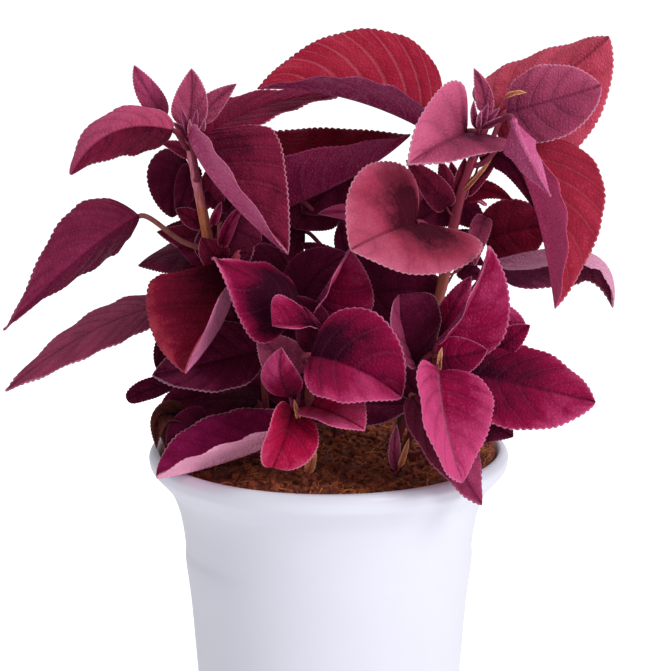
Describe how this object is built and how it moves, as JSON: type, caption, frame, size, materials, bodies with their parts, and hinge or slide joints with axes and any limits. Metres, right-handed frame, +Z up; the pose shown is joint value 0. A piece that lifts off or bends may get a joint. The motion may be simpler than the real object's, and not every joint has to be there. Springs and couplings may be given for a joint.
{
  "type": "potted coleus plant",
  "caption": "Bushy potted foliage plant: broad toothed crimson and purple leaves on upright stems, rooted in soil in a round white pot.",
  "frame": {"origin": "centre of the pot's flat base", "axes": "+Z up out of the pot, +X to the right of the plant seen from its front, -Y toward the front"},
  "size_m": [0.269, 0.2076, 0.3326],
  "materials": {
    "pot": "satin",
    "soil": "matte",
    "stem": "satin",
    "leaf_crimson": "satin",
    "leaf_orange": "satin",
    "leaf_red": "satin",
    "leaf_magenta": "satin",
    "leaf_mauve": "satin",
    "leaf_plum": "satin",
    "leaf_dark": "satin"
  },
  "bodies": {
    "root": {"pot": "pot", "soil": "soil", "left_stem": "stem", "right_stem": "stem", "back_stem": "stem", "middle_stem": "stem", "front_stem": "stem", "low_right_stem": "stem", "low_left_stem": "stem", "left_bud_leaf": "leaf_mauve", "left_young_leaf": "leaf_mauve", "left_drooping_leaf": "leaf_crimson", "left_folded_leaf": "leaf_crimson", "left_arching_leaf": "leaf_magenta", "left_round_leaf": "leaf_dark", "left_side_leaf": "leaf_dark", "left_long_upper_leaf": "leaf_plum", "left_long_lower_leaf": "leaf_mauve", "left_red_leaf": "leaf_red", "left_inner_leaf": "leaf_plum", "centre_long_leaf": "leaf_dark", "left_mid_dark_leaf": "leaf_dark", "left_low_dark_leaf": "leaf_dark", "left_rim_leaf": "leaf_plum", "centre_left_leaf": "leaf_magenta", "centre_dark_leaf": "leaf_dark", "centre_top_leaf": "leaf_magenta", "centre_broad_leaf": "leaf_magenta", "centre_folded_leaf": "leaf_magenta", "centre_low_leaf": "leaf_dark", "front_upright_leaf": "leaf_magenta", "front_hanging_leaf": "leaf_magenta", "front_right_leaf": "leaf_magenta", "top_arching_leaf": "leaf_red", "right_heart_leaf": "leaf_mauve", "right_mauve_leaf": "leaf_mauve", "right_top_leaf": "leaf_orange", "right_pink_leaf": "leaf_mauve", "right_hanging_leaf": "leaf_orange", "right_narrow_leaf": "leaf_dark", "centre_heart_leaf": "leaf_mauve", "right_round_leaf": "leaf_red", "right_curled_leaf": "leaf_mauve", "right_inner_leaf": "leaf_dark", "right_upright_leaf": "leaf_magenta", "right_side_leaf": "leaf_magenta", "right_broad_leaf": "leaf_magenta", "right_front_leaf": "leaf_magenta", "right_rim_leaf": "leaf_dark", "inner_upper_leaf": "leaf_dark", "inner_right_leaf": "leaf_dark", "inner_left_leaf": "leaf_dark", "rear_top_leaf": "leaf_plum", "rear_top_left_leaf": "leaf_plum", "rear_top_right_leaf": "leaf_crimson", "rear_mid_leaf": "leaf_plum", "rear_mid_right_leaf": "leaf_plum", "rear_mid_left_leaf": "leaf_plum", "rear_low_right_leaf": "leaf_plum", "rear_low_left_leaf": "leaf_plum"}
  },
  "joints": []
}
